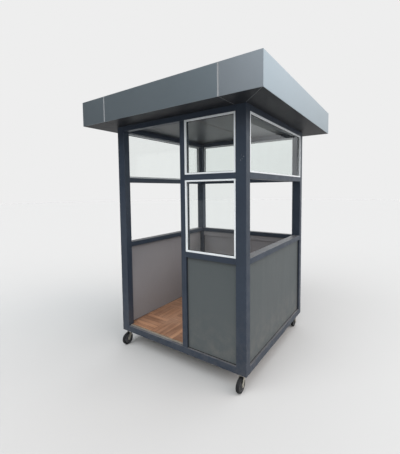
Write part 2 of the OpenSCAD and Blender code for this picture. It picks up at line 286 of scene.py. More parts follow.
def parquet():
    """Printed wood fingers. U runs along a finger; each finger has its own tone."""
    s = Surface("parquet_fingers")
    own = s.geometry("Random Per Island")
    uv = s.coords.outputs["UV"]
    shift = s.node("ShaderNodeCombineXYZ", {
        "X": s.maths("MULTIPLY", own, 37.0), "Y": s.maths("MULTIPLY", own, 91.0),
    })
    along = s.node("ShaderNodeMapping", {
        "Scale": (3.0, 40.0, 1.0), "Vector": uv, "Location": shift.outputs["Vector"],
    })
    grain = s.noise(1.0, 6.0, 0.65, along.outputs["Vector"], 0.8)
    colour = s.mix(s.ramp(own, 0.0, 1.0), (0.235, 0.120, 0.070), (0.440, 0.235, 0.135))
    dark = s.mix(0.45, colour, (0.10, 0.050, 0.030))
    colour = s.mix(s.ramp(grain, 0.34, 0.62), dark, colour)
    colour = s.mix(s.ramp(grain, 0.60, 0.74, 0.0, 0.45), colour, (0.56, 0.34, 0.21))
    half_finger = SQUARE / FINGERS / 2
    from_middle = s.maths("ABSOLUTE", s.maths("SUBTRACT", s.xyz(uv)[1], half_finger), 0.0)
    edge = s.ramp(from_middle, 0.7 * half_finger, half_finger, 0.0, 0.55)
    colour = s.mix(edge, colour, (0.13, 0.066, 0.040))
    worn = s.ramp(s.noise(4.0, 5.0, 0.6), 0.45, 0.72, 0.0, 0.30)
    colour = s.mix(worn, colour, (0.46, 0.31, 0.22))
    s.bump(grain, 0.18, 0.0006)
    return s.finish(colour, s.ramp(s.noise(9.0, 4.0), 0.3, 0.7, 0.36, 0.52))


def composite_sheet(name, dark, light, metallic, rough, level, wave):
    """Coated composite sheet: slow tone changes, brushed lines and slight waviness."""
    s = Surface(name)
    colour = s.mix(s.ramp(s.noise(0.9, 3.0), 0.25, 0.75), dark, light)
    lines = s.noise(70.0, 4.0, 0.6, s.mapped((0.25, 0.25, 6.0)))
    colour = s.mix(s.ramp(lines, 0.35, 0.7, 0.0, 0.07), colour, tuple(1.5 * c for c in light))
    streak = s.noise(11.0, 5.0, 0.7, s.mapped((1.0, 1.0, 0.12)))
    colour = s.mix(s.ramp(streak, 0.60, 0.78, 0.0, 0.12), colour, (0.30, 0.29, 0.27))
    s.bump(s.noise(wave, 1.0), 0.25, 0.005)
    s.plain(Metallic=metallic, Specular_IOR_Level=level)
    return s.finish(colour, s.ramp(lines, 0.3, 0.7, rough - 0.01, rough + 0.02))


def galvanised(name, dark, light, rough=0.42):
    """Zinc on steel: crystal spangle with a little white bloom."""
    s = Surface(name)
    where = {"Scale": 70.0, "Vector": s.coords.outputs["Object"]}
    cells = s.node("ShaderNodeTexVoronoi", where, feature="F1")
    spangle = s.node("ShaderNodeSeparateColor", {"Color": cells.outputs["Color"]}).outputs["Red"]
    colour = s.mix(spangle, dark, light)
    bloom = s.ramp(s.noise(6.0, 5.0, 0.65), 0.50, 0.75, 0.0, 0.22)
    colour = s.mix(bloom, colour, (0.66, 0.66, 0.64))
    s.bump(s.noise(260.0, 3.0), 0.06, 0.0004)
    s.plain(Metallic=0.85)
    return s.finish(colour, s.ramp(spangle, 0.0, 1.0, rough - 0.1, rough + 0.1))


def zinc_plate():
    """Bright zinc with a yellow cast, dulled and gritty in patches."""
    s = Surface("yellow_zinc_plate")
    colour = s.mix(s.ramp(s.noise(30.0, 4.0), 0.3, 0.7), (0.42, 0.39, 0.30), (0.62, 0.60, 0.54))
    grime = s.ramp(s.noise(75.0, 6.0, 0.7), 0.50, 0.72, 0.0, 0.65)
    colour = s.mix(grime, colour, (0.09, 0.08, 0.07))
    s.bump(s.noise(300.0, 3.0), 0.12, 0.0004)
    s.plain(Metallic=0.8)
    return s.finish(colour, s.ramp(s.noise(60.0, 4.0), 0.3, 0.7, 0.28, 0.50))


def rubber(name, base, dusty, dust_scale=60.0):
    """Black rubber with grey dust worked into it."""
    s = Surface(name)
    dust = s.ramp(s.noise(dust_scale, 6.0, 0.7), 0.46, 0.75, 0.0, 0.55)
    colour = s.mix(dust, base, dusty)
    s.bump(s.noise(700.0, 3.0), 0.25, 0.0004)
    s.plain(Specular_IOR_Level=0.30)
    return s.finish(colour, s.ramp(dust, 0.0, 0.5, 0.55, 0.85))


def moulded(name, base, light):
    """Moulded plastic with a fine spark-eroded grain."""
    s = Surface(name)
    colour = s.mix(s.ramp(s.noise(40.0, 5.0), 0.3, 0.75), base, light)
    s.bump(s.noise(900.0, 2.0), 0.2, 0.0003)
    return s.finish(colour, s.ramp(s.noise(50.0, 3.0), 0.3, 0.7, 0.38, 0.55))


def champagne_trim():
    """Anodised strip with lengthwise draw lines and shoe scuffs."""
    s = Surface("champagne_trim")
    draw = s.noise(60.0, 3.0, 0.6, s.mapped((0.3, 14.0, 14.0)))
    colour = s.mix(s.ramp(draw, 0.3, 0.7), (0.36, 0.31, 0.25), (0.52, 0.46, 0.38))
    scuff = s.ramp(s.noise(30.0, 6.0, 0.75), 0.55, 0.72, 0.0, 0.5)
    colour = s.mix(scuff, colour, (0.22, 0.19, 0.16))
    s.bump(draw, 0.15, 0.0004)
    s.plain(Metallic=0.6)
    return s.finish(colour, s.ramp(scuff, 0.0, 0.5, 0.34, 0.55))


STAGE_DARK = (0.494, 0.496, 0.496)
STAGE_LIGHT = (0.500, 0.502, 0.502)


def floor_stage():
    """Pale studio floor, which sends less light back up than it shows."""
    s = Surface("studio_floor")
    shown = s.mix(s.noise(3.0, 3.0), STAGE_DARK, STAGE_LIGHT)
    colour = s.mix(s.seen(), (0.36, 0.36, 0.36), shown)
    s.plain(Specular_IOR_Level=0.0)
    return s.finish(colour, s.ramp(s.noise(8.0, 2.0), 0.3, 0.7, 0.85, 0.95))


FRAME_PAINT = painted_steel(
    "frame_paint_slate", (0.021, 0.031, 0.049), (0.029, 0.042, 0.064), (0.20, 0.22, 0.25)
)
PANEL = panel_skin("panel_skin_outside", (0.080, 0.093, 0.096), (0.090, 0.101, 0.104))
PANEL_IN = panel_skin("panel_skin_inside", (0.232, 0.228, 0.240), (0.268, 0.262, 0.274))
CORE = rubber("panel_foam_core", (0.52, 0.50, 0.42), (0.66, 0.63, 0.52))
WHITE = window_white()
GLASS = window_glass()
WOOD = parquet()
TRIM = champagne_trim()
# name, darker tone, lighter tone, metallic, roughness, specular level, scale of the waves
FASCIA, FASCIA_PAINTED_REFLECTION, SOFFIT_PAINTED_SHADE, CEILING, COVER_STRIP, JOINT = (composite_sheet(*sheet) for sheet in (
    ("fascia_composite", (0.262, 0.316, 0.350), (0.308, 0.362, 0.405), 0.8, 0.32, 0.5, 1.3),
    # the end sheets' material is a lighter copy of the fascia's: painted reflection of the bright sky near
    # the corners
    ("fascia_painted_reflection", (0.345, 0.390, 0.430), (0.395, 0.440, 0.485), 0.8, 0.30, 0.5, 1.3),
    # the soffit's near-black colour is painted shade under the roof overhang
    ("soffit_painted_shade", (0.012, 0.014, 0.017), (0.022, 0.024, 0.029), 0.0, 0.45, 0.15, 1.6),
    ("ceiling_composite", (0.037, 0.043, 0.050), (0.054, 0.061, 0.070), 0.0, 0.36, 0.35, 1.6),
    ("ceiling_cover_strip", (0.090, 0.082, 0.076), (0.120, 0.110, 0.102), 0.0, 0.45, 0.3, 5.0),
    ("joint_sealant", (0.30, 0.31, 0.32), (0.38, 0.39, 0.40), 0.0, 0.6, 0.3, 8.0),
))
DARK_JOINT = rubber("dark_joint", (0.006, 0.006, 0.007), (0.02, 0.02, 0.022))
GASKET = rubber("gasket_rubber", (0.010, 0.010, 0.011), (0.055, 0.055, 0.058), 90.0)
GALV = galvanised("galvanised_steel", (0.38, 0.39, 0.40), (0.46, 0.47, 0.48))
PLY = moulded("floor_plywood", (0.30, 0.22, 0.14), (0.42, 0.33, 0.22))
ZINC = zinc_plate()
TYRE = rubber("tyre_rubber", (0.010, 0.011, 0.013), (0.050, 0.048, 0.046), 120.0)
PALE_SPOT_GREY = moulded("pale_spot_grey", (0.30, 0.31, 0.33), (0.46, 0.47, 0.49))
HUB = moulded("hub_plastic", (0.05, 0.052, 0.056), (0.10, 0.10, 0.105))
SCREW = galvanised("screw_zinc", (0.40, 0.40, 0.40), (0.62, 0.62, 0.61), 0.34)


# ---- mesh helpers ----

def new_object(name, data):
    made = bpy.data.objects.new(name, data)
    bpy.context.scene.collection.objects.link(made)
    return made


def add_object(name, bm, materials, body="booth", smooth=40.0):
    """Makes a piece from bm, riding on a body."""
    bmesh.ops.recalc_face_normals(bm, faces=bm.faces)
    mesh = bpy.data.meshes.new(name)
    bm.to_mesh(mesh)
    bm.free()
    for material in materials if isinstance(materials, (list, tuple)) else (materials,):
        mesh.materials.append(material)
    for polygon in mesh.polygons:
        polygon.use_smooth = True
    mesh.set_sharp_from_angle(angle=math.radians(smooth))
    piece = new_object(name, mesh)
    even = piece.modifiers.new("flat_faces_stay_flat", "WEIGHTED_NORMAL")
    even.keep_sharp = True
    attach(piece, body)
    return piece


def round_edges(bm, edges, offset, segments=2, clamp=False):
    return bmesh.ops.bevel(
        bm, geom=list(edges), offset=offset, segments=segments, profile=0.5, affect="EDGES",
        clamp_overlap=clamp,
    )


def add_box(bm, lo, hi, matrix=None, bevel=0.0, segments=2, index=0, uv=None):
    """A box from lo to hi, with its edges rounded by bevel. uv is the axis that U follows."""
    lo, hi = Vector(lo), Vector(hi)
    place = Matrix.Translation((lo + hi) / 2) @ Matrix.Diagonal((*(hi - lo), 1.0))
    verts = bmesh.ops.create_cube(bm, size=1.0, matrix=place)["verts"]
    if bevel:
        edges = {e for v in verts for e in v.link_edges}
        verts = round_edges(bm, edges, bevel, segments)["verts"]
    faces = {f for v in verts for f in v.link_faces}
    verts = {v for f in faces for v in f.verts}
    for face in faces:
        face.material_index = index
    if uv is not None:
        layer = bm.loops.layers.uv.verify()
        across = 1 - uv
        for face in faces:
            for loop in face.loops:
                loop[layer].uv = (loop.vert.co[uv] - lo[uv], loop.vert.co[across] - lo[across])
    if matrix is not None:
        bmesh.ops.transform(bm, matrix=matrix, verts=list(verts))
    return verts


def add_prism(bm, outline, low, high, matrix=None, index=0):
    """A straight prism on a flat outline of (x, y) points, from z low to high."""
    bottom = [bm.verts.new((x, y, low)) for x, y in outline]
    top = [bm.verts.new((x, y, high)) for x, y in outline]
    faces = [bm.faces.new(bottom[::-1]), bm.faces.new(top)]
    for i in range(len(outline)):
        j = (i + 1) % len(outline)
        faces.append(bm.faces.new((bottom[i], bottom[j], top[j], top[i])))
    for face in faces:
        face.material_index = index
    if matrix is not None:
        bmesh.ops.transform(bm, matrix=matrix, verts=bottom + top)
    return faces


def add_plate(bm, outline, low, high, matrix, bevel):
    """A prism with its edges rounded."""
    part = bmesh.new()
    add_prism(part, outline, low, high)
    bmesh.ops.recalc_face_normals(part, faces=part.faces)
    rims = [e for e in part.edges if e.calc_face_angle(0) > 1.0]
    round_edges(part, rims, bevel)
    bmesh.ops.transform(part, matrix=matrix, verts=part.verts)
    mesh = bpy.data.meshes.new("plate")
    part.to_mesh(mesh)
    part.free()
    bm.from_mesh(mesh)
    bpy.data.meshes.remove(mesh)


def circle(radius, steps):
    """Points evenly round a circle. Six of them are a hexagon's corners."""
    turns = (2 * math.pi * k / steps for k in range(steps))
    return [(radius * math.cos(a), radius * math.sin(a)) for a in turns]


def add_lathe(bm, profile, steps, matrix=None, index=0, closed=False):
    """Turns a profile of (radius, z) points round Z. A closed profile makes a ring."""
    rings = []
    for radius, z in profile:
        if radius < 1e-7:
            rings.append([bm.verts.new((0, 0, z))])
            continue
        rings.append([bm.verts.new((x, y, z)) for x, y in circle(radius, steps)])
    pairs = list(zip(rings, rings[1:]))
    if closed:
        pairs.append((rings[-1], rings[0]))
    faces = []
    for a, b in pairs:
        for k in range(steps):
            m = (k + 1) % steps
            loop = [a[k % len(a)], a[m % len(a)], b[m % len(b)], b[k % len(b)]]
            loop = [v for n, v in enumerate(loop) if v not in loop[:n]]
            faces.append(bm.faces.new(loop))
    for face in faces:
        face.material_index = index
    if matrix is not None:
        bmesh.ops.transform(bm, matrix=matrix, verts=[v for ring in rings for v in ring])
    return faces


def add_ring(bm, x0, x1, z0, z1, profile, matrix, index=0, split=0.0):
    """Sweeps a closed profile of (inset, depth) points round a rectangle of a wall, mitred at
    its corners. With split, the four bars are apart by that hairline."""
    def corner_points(inset, depth):
        return (
            Vector((x0 + inset, depth, z0 + inset)),
            Vector((x1 - inset, depth, z0 + inset)),
            Vector((x1 - inset, depth, z1 - inset)),
            Vector((x0 + inset, depth, z1 - inset)),
        )
    rows = [corner_points(*point) for point in profile]
    shared = None
    if not split:
        shared = [[bm.verts.new(matrix @ p) for p in row] for row in rows]
    count = len(profile)
    for side in range(4):
        nxt = (side + 1) % 4
        if split:
            step = (rows[0][nxt] - rows[0][side]).normalized() * split
            ends = [
                (bm.verts.new(matrix @ (row[side] + step)), bm.verts.new(matrix @ (row[nxt] - step)))
                for row in rows
            ]
            caps = [[e[0] for e in ends], [e[1] for e in ends][::-1]]
            for cap in caps:
                bm.faces.new(cap).material_index = index
        else:
            ends = [(row[side], row[nxt]) for row in shared]
        for i in range(count):
            j = (i + 1) % count
            face = bm.faces.new((ends[i][0], ends[i][1], ends[j][1], ends[j][0]))
            face.material_index = index


def facing(point, direction, spin=0.0):
    """A matrix that puts local Z along direction at point."""
    turn = Vector(direction).to_track_quat("Z", "Y").to_matrix().to_4x4()
    return Matrix.Translation(point) @ turn @ Matrix.Rotation(spin, 4, "Z")


def disc(radius, low, high, bore=0.0):
    """Lathe profile of a flat disc, or of a collar round a bore."""
    return [(bore, low), (radius, low), (radius, high), (bore, high)]


def mirrored(half):
    """A lathe profile that is the same on both sides of z = 0, from its lower half."""
    return half + [(radius, -z) for radius, z in reversed(half)]


def add_screw(bm, point, direction, radius, index=0):
    """A hex washer-head screw seen from outside, standing on point."""
    place = facing(point, direction, rng.uniform(0, math.pi))
    washer = [(0, 0), (1, 0), (1, 0.22), (0.9, 0.3), (0, 0.3)]
    add_lathe(bm, [(radius * r, radius * z) for r, z in washer], 16, place, index)
    add_prism(bm, circle(0.68 * radius, 6), 0.25 * radius, 0.85 * radius, place, index)


def add_rivet(bm, point, direction, radius, index=0):
    """A low domed blind rivet with its small dimple."""
    profile = [(0, 0), (radius, 0)]
    profile += [
        (radius * math.cos(a), 0.42 * radius * math.sin(a))
        for a in (math.pi / 2 * k / 4 for k in range(1, 4))
    ]
    profile += [(0.22 * radius, 0.40 * radius), (0.18 * radius, 0.28 * radius), (0, 0.28 * radius)]
    add_lathe(bm, profile, 14, facing(point, direction), index)


def spread(start, end, pitch):
    """Evenly spaced values from start to end, about pitch apart."""
    count = max(1, round((end - start) / pitch))
    return [start + (end - start) * k / count for k in range(count + 1)]


def dress(node, material, bevel=1.5 * MM, segments=2):
    """Gives a CAD node its finish and rounds its edges."""
    piece = NODES[node]
    piece.data.materials.clear()
    piece.data.materials.append(material)
    if bevel:
        weld = piece.modifiers.new("weld", "WELD")
        weld.merge_threshold = 1e-5
        rounded = piece.modifiers.new("rounded", "BEVEL")
        rounded.width = bevel
        rounded.segments = segments
        rounded.limit_method = "ANGLE"
        rounded.angle_limit = math.radians(40)


# ---- frame, panels and glass: CAD nodes with their finish ----

def dress_frame():
    for node in NODES:
        if node.startswith(("post_", "door_post", "base_rail", "sill_rail", "mid_rails", "top_rails")):
            dress(node, FRAME_PAINT, 2.5 * MM, 3)
        elif node == "back_wall_batten":
            dress(node, PANEL_IN, 1.0 * MM)
        elif node in ("roof_edge_beams", "roof_joists", "floor_joists"):
            dress(node, GALV, 2.0 * MM)
    dress("window_glass", GLASS, 0.4 * MM, 1)


SKIN_T = 0.8 * MM


def lower_panels():
    """Foam-cored panels: an outer skin, the core, and a paler inner skin."""
    for wall in WALLS:
        node = "lower_panel_" + wall
        lo, hi = in_wall(wall, node)
        place = wall_matrix(wall)
        bm = bmesh.new()
        cuts = (lo.y, lo.y + SKIN_T, hi.y - SKIN_T, hi.y)
        for index, (a, b) in enumerate(zip(cuts, cuts[1:])):
            inset = 0.6 * MM if index == 1 else 0.0
            add_box(
                bm, (lo.x + inset, a, lo.z + inset), (hi.x - inset, b, hi.z - inset), place,
                0.25 * MM, 1, index,
            )
        piece = add_object(node + "_skins", bm, (PANEL, CORE, PANEL_IN))
        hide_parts(node)


def panel_beads():
    """Rubber bead round both faces of each lower panel."""
    bm = bmesh.new()
    bead = 4.5 * MM
    for wall in WALLS:
        lo, hi = in_wall(wall, "lower_panel_" + wall)
        place = wall_matrix(wall)
        for depth, out in ((lo.y, -1), (hi.y, 1)):
            profile = [
                (0.0, depth), (bead, depth), (0.55 * bead, depth + 0.3 * out * bead),
                (0.25 * bead, depth + 0.6 * out * bead), (0.0, depth + out * bead),
            ]
            add_ring(bm, lo.x, hi.x, lo.z, hi.z, profile, place)
    add_object("panel_beads", bm, GASKET)


def panel_screws():
    """Screws in the outer faces of the base rails."""
    bm = bmesh.new()
    for wall in WALLS:
        lo, hi = in_wall(wall, "lower_panel_" + wall)
        place = wall_matrix(wall)
        out = place.to_3x3() @ Vector((0, -1, 0))
        base_lo, base_hi = in_wall(wall, "base_rail_" + wall)
        for x in spread(lo.x + 60 * MM, hi.x - 60 * MM, 400 * MM):
            add_screw(bm, place @ Vector((x, 0, (base_lo.z + base_hi.z) / 2)), out, 4.5 * MM)
    add_object("base_screws", bm, FRAME_PAINT)


# a pale spot on the front of the frame: x and z in metres, z from the ground, and its size in mm
PALE_SPOTS = [
    (-0.628, 1.436, 5.0), (0.700, 1.905, 6.0), (0.716, 1.917, 4.0), (0.728, 1.932, 7.0),
    (0.709, 1.945, 3.0), (0.688, 1.880, 2.5), (0.735, 1.862, 2.0), (0.118, 1.470, 3.5),
    (0.131, 1.455, 2.0),
]


def pale_frame_spots():
    """Small pale grey spots on the front of the frame, at the listed places."""
    bm = bmesh.new()
    for x, z, size in PALE_SPOTS:
        lean = Matrix.Rotation(rng.uniform(0.0, math.pi), 2)
        outline = []
        for across, along in circle(0.5 * size * MM, 9):
            uneven = rng.uniform(0.55, 1.0)
            outline.append(lean @ Vector((1.5 * uneven * across, 0.6 * uneven * along)))
        place = Matrix(((1, 0, 0, x), (0, 0, 1, -HALF_D), (0, 1, 0, z), (0, 0, 0, 1)))
        add_prism(bm, outline, -0.12 * MM, 0.05 * MM, place)
    add_object("pale_frame_spots", bm, PALE_SPOT_GREY)


# ---- windows ----

WINDOWS = {
    "window_frame_front_lower": "front",
    "window_frame_front_upper": "front",
    "window_frame_right": "right",
    "window_frame_back": "back",
    "window_frame_left": "left",
}
BAR = 14 * MM
BAR_DEPTH = 30 * MM
GLASS_FRONT = 19 * MM
GLASS_BACK = GLASS_FRONT + PANE_T


def window_profile():
    """Closed section of a window bar: rounded nose, glazing groove, snap-in bead behind."""
    r = 1.2 * MM
    groove = 1.6 * MM
    return [
        (0.0, r), (0.35 * r, 0.3 * r), (r, 0.0), (BAR - r, 0.0), (BAR - 0.3 * r, 0.3 * r), (BAR, r),
        (BAR, GLASS_FRONT - 2.6 * MM), (BAR - groove, GLASS_FRONT - 2.2 * MM),
        (BAR - groove, GLASS_BACK + 1.8 * MM), (BAR, GLASS_BACK + 2.2 * MM),
        (BAR, BAR_DEPTH - r), (BAR - r, BAR_DEPTH), (BAR - 4 * MM, BAR_DEPTH),
        (BAR - 4 * MM, BAR_DEPTH - 0.8 * MM), (BAR - 4.8 * MM, BAR_DEPTH - 0.8 * MM),
        (BAR - 4.8 * MM, BAR_DEPTH), (0.0, BAR_DEPTH),
    ]


def windows():
    gaskets = bmesh.new()
    screws = bmesh.new()
    for node, wall in WINDOWS.items():
        lo, hi = in_wall(wall, node)
        place = wall_matrix(wall)
        bm = bmesh.new()
        add_ring(bm, lo.x, hi.x, lo.z, hi.z, window_profile(), place, split=0.12 * MM)
        piece = add_object(node + "_bars", bm, WHITE)
        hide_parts(node)
        for near, far in ((GLASS_FRONT - 2.4 * MM, GLASS_FRONT), (GLASS_BACK, GLASS_BACK + 2.0 * MM)):
            lip = [
                (BAR - 1.2 * MM, near), (BAR + 2.4 * MM, near), (BAR + 3.0 * MM, (near + far) / 2),
                (BAR + 2.4 * MM, far), (BAR - 1.2 * MM, far),
            ]
            add_ring(gaskets, lo.x, hi.x, lo.z, hi.z, lip, place)
        inner = place.to_3x3() @ Vector((0, 1, 0))
        for x in spread(lo.x + 70 * MM, hi.x - 70 * MM, 420 * MM):
            for z in (lo.z + 5 * MM, hi.z - 5 * MM):
                add_rivet(screws, place @ Vector((x, BAR_DEPTH, z)), inner, 2.4 * MM)
    add_object("glazing_gaskets", gaskets, GASKET)
    add_object("window_bead_rivets", screws, SCREW)


# ---- floor ----

COVER_LO, COVER_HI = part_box("floor_covering")
DOOR_POST_LO, DOOR_POST_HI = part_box("door_post")
STRIP_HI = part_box("threshold_strip")[1]


def covering_cuts():
    """Rectangles that the covering is cut round: the posts and the step at the doorway."""
    gap = 0.5 * MM
    cuts = []
    for sx, sy in CORNERS.values():
        xs = sorted((sx * HALF_W, sx * (HALF_W - POST_W - gap)))
        ys = sorted((sy * HALF_D, sy * (HALF_D - POST_D - gap)))
        cuts.append((xs[0], ys[0], xs[1], ys[1]))
    cuts.append((DOOR_POST_LO.x - gap, -HALF_D, DOOR_POST_HI.x + gap, DOOR_POST_HI.y + gap))
    cuts.append((-HALF_W, -HALF_D, DOOR_POST_LO.x, STRIP_HI.y + gap))
    return cuts


def trimmed(cell, cuts):
    """A rectangle less the cuts, as rectangles."""
    pieces = [cell]
    for x0, y0, x1, y1 in cuts:
        left = []
        for a, b, c, d in pieces:
            if c <= x0 or a >= x1 or d <= y0 or b >= y1:
                left.append((a, b, c, d))
                continue
            if b < y0:
                left.append((a, b, c, y0))
            if d > y1:
                left.append((a, y1, c, d))
            low, high = max(b, y0), min(d, y1)
            if a < x0:
                left.append((a, low, x0, high))
            if c > x1:
                left.append((x1, low, c, high))
        pieces = left
    return pieces


def floor_covering():
    """Parquet squares of five fingers, turned by a right angle from one to the next, on a
    thin backing, cut round the posts."""
    cuts = covering_cuts()
    whole = (COVER_LO.x, COVER_LO.y, COVER_HI.x, COVER_HI.y)
    groove = 1.0 * MM
    bm = bmesh.new()
    for a, b, c, d in trimmed(whole, cuts):
        add_box(bm, (a, b, COVER_LO.z), (c, d, COVER_HI.z - groove), index=1, uv=0)
    width = SQUARE / FINGERS
    half_gap = 0.25 * MM
    start_x = -HALF_W + 72 * MM
    start_y = STRIP_HI.y
    for i in range(-1, math.ceil((COVER_HI.x - start_x) / SQUARE)):
        for j in range(-1, math.ceil((COVER_HI.y - start_y) / SQUARE)):
            for k in range(FINGERS):
                x0, y0 = start_x + i * SQUARE, start_y + j * SQUARE
                along_x = (i + j) % 2 == 0
                if along_x:
                    cell = (x0, y0 + k * width, x0 + SQUARE, y0 + (k + 1) * width)
                else:
                    cell = (x0 + k * width, y0, x0 + (k + 1) * width, y0 + SQUARE)
                cell = (
                    max(cell[0], whole[0]), max(cell[1], whole[1]),
                    min(cell[2], whole[2]), min(cell[3], whole[3]),
                )
                sink = rng.uniform(0.0, 0.12 * MM)
                for a, b, c, d in trimmed(cell, cuts):
                    if c - a < 3 * MM or d - b < 3 * MM:
                        continue
                    lo = (a + half_gap, b + half_gap, COVER_HI.z - groove - 0.1 * MM)
                    hi = (c - half_gap, d - half_gap, COVER_HI.z - sink)
                    add_box(bm, lo, hi, bevel=0.3 * MM, segments=1, uv=0 if along_x else 1)
    piece = add_object("floor_parquet", bm, (WOOD, DARK_JOINT), smooth=30.0)
    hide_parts("floor_covering")


def threshold():
    """Ribbed strip over the joint at the doorway, with its screws."""
    lo, hi = in_wall("front", "threshold_strip")
    place = wall_matrix("front")
    bm = bmesh.new()
    thick = hi.z - lo.z
    deep = hi.y - lo.y
    ribs = 7
    outline = [(0.0, 0.0), (deep, 0.0), (deep - 0.5 * MM, 0.55 * thick), (deep - 4 * MM, thick)]
    step = (deep - 8 * MM) / ribs
    for k in range(ribs):
        x = deep - 4 * MM - k * step
        outline += [
            (x - 0.35 * step, thick), (x - 0.45 * step, 0.78 * thick),
            (x - 0.65 * step, 0.78 * thick), (x - 0.75 * step, thick),
        ]
    outline += [(4 * MM, thick), (0.5 * MM, 0.55 * thick)]
    turn = Matrix(((0, 0, 1, 0), (1, 0, 0, lo.y), (0, 1, 0, lo.z), (0, 0, 0, 1)))
    add_prism(bm, outline, lo.x, hi.x, place @ turn)
    for x in spread(lo.x + 60 * MM, hi.x - 60 * MM, 200 * MM):
        add_rivet(bm, place @ Vector((x, (lo.y + hi.y) / 2, hi.z - 0.4 * MM)), (0, 0, 1), 3.2 * MM, 1)
    piece = add_object("threshold_ribbed_strip", bm, (TRIM, SCREW), smooth=25.0)
    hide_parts("threshold_strip")


# ---- roof ----

SEAM_X = 0.645
SEAM_W = 12 * MM
SEAMS = {wall: (-SEAM_X, SEAM_X) if wall in ACROSS else () for wall in WALLS}


def roof_ring(bm, profile, top):
    """Sweeps a profile of (inset, drop) points round the roof's edge, drop being down from top."""
    flat = Matrix(((1, 0, 0, 0), (0, 0, 1, 0), (0, -1, 0, top), (0, 0, 0, 1)))
    add_ring(bm, -ROOF_HALF, ROOF_HALF, -ROOF_HALF, ROOF_HALF, profile, flat)


def fascia_sheets():
    """Fascia of composite sheets. The front and back are in three sheets, with pale joints."""
    outer = ROOF_HALF
    t = FASCIA_T
    cap = 1.5 * MM
    for wall in WALLS:
        bm = bmesh.new()
        place = wall_matrix(wall)
        near = REACH[wall] - outer
        cuts = [-outer, *SEAMS[wall], outer]
        for a, b in zip(cuts, cuts[1:]):
            # the sheet at the right-hand end of the front and back takes the lighter copy: painted
            # reflection
            index = 2 if SEAMS[wall] and b == outer else 0
            left = a + (SEAM_W / 2 if a > -outer else 0.3 * MM)
            right = b - (SEAM_W / 2 if b < outer else 0.3 * MM)
            left_in = left if a > -outer else left + t
            right_in = right if b < outer else right - t
            outline = [(left, near), (right, near), (right_in, near + t), (left_in, near + t)]
            add_prism(bm, outline, SOFFIT_Z, ROOF_TOP - cap, place, index)
        round_edges(bm, bm.edges, 0.8 * MM, clamp=True)
        for x in SEAMS[wall]:
            lo = (x - SEAM_W / 2, near + 1.2 * MM, SOFFIT_Z + 0.5 * MM)
            add_box(bm, lo, (x + SEAM_W / 2, near + t, ROOF_TOP - cap), place, index=1)
        piece = add_object("fascia_sheets_" + wall, bm, (FASCIA, JOINT, FASCIA_PAINTED_REFLECTION))
        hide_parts("fascia_" + wall)


def roof_cap():
    """Folded edge cap along the top of the fascia, with rivets."""
    bm = bmesh.new()
    wide = 26 * MM
    t = 1.5 * MM
    profile = [
        (0.4 * MM, 0.5 * MM), (0.9 * MM, 0.0), (wide, 0.0), (wide, 12 * MM),
        (wide - t, 12 * MM), (wide - t, t), (0.4 * MM, t),
    ]
    roof_ring(bm, profile, ROOF_TOP)
    for side in range(4):
        turn = Matrix.Rotation(math.pi / 2 * side, 4, "Z")
        for x in spread(-ROOF_HALF + 60 * MM, ROOF_HALF - 60 * MM, 310 * MM):
            spot = turn @ Vector((x, -ROOF_HALF + 0.5 * wide, ROOF_TOP - 0.9 * MM))
            add_rivet(bm, spot, (0, 0, 1), 2.2 * MM, 1)
    add_object("fascia_edge_cap", bm, (FASCIA, SCREW))


def roof_sheet():
    """Trapezoid-ribbed roof sheet in its tray, with screws, washers and a flashing."""
    bm = bmesh.new()
    lo, hi = SHEET_LO, SHEET_HI
    rib, top_w, foot_w, pitch = 16 * MM, 22 * MM, 40 * MM, 0.197
    t = 1.0 * MM
    ribs = spread(lo.x + 0.1, hi.x - 0.1, pitch)
    line = [(lo.x, 0.0)]
    for x in ribs:
        line += [(x - foot_w / 2, 0.0), (x - top_w / 2, rib)]
        line += [(x + top_w / 2, rib), (x + foot_w / 2, 0.0)]
    line.append((hi.x, 0.0))
    outline = [(x, z + t) for x, z in line] + [(x, z) for x, z in reversed(line)]
    upright = Matrix(((1, 0, 0, 0), (0, 0, 1, 0), (0, 1, 0, hi.z - t), (0, 0, 0, 1)))
    bottom, top = (
        [bm.verts.new(upright @ Vector((x, z, y))) for x, z in outline] for y in (lo.y, hi.y)
    )
    count = len(outline)
    for i in range(count):
        j = (i + 1) % count
        bm.faces.new((bottom[i], bottom[j], top[j], top[i]))
    half = count // 2
    for row in (bottom, top):
        for i in range(half - 1):
            bm.faces.new((row[i], row[i + 1], row[count - 2 - i], row[count - 1 - i]))
    for x in ribs:
        for y in spread(lo.y + 0.09, hi.y - 0.09, 0.45):
            add_screw(bm, (x, y, hi.z + rib), (0, 0, 1), 5.5 * MM, 1)
    sheet = add_object("roof_ribbed_sheet", bm, (GALV, SCREW), smooth=30.0)
    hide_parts("roof_sheet")
    bm = bmesh.new()
    top_z = ROOF_TOP - 2 * MM
    inner = FASCIA_T + 0.2 * MM
    outer = inner + 60 * MM
    drop = top_z - hi.z
    profile = [
        (inner, 0.0), (inner + 1 * MM, 0.0), (inner + 1 * MM, drop - 18 * MM),
        (outer, drop - 17.5 * MM), (outer, drop - 16.5 * MM), (inner, drop - 17 * MM),
    ]
    roof_ring(bm, profile, top_z)
    add_object("roof_flashing", bm, GALV)


SOFFIT_HALF = ROOF_HALF - FASCIA_T
SOFFIT_JOINT = 4.5 * MM


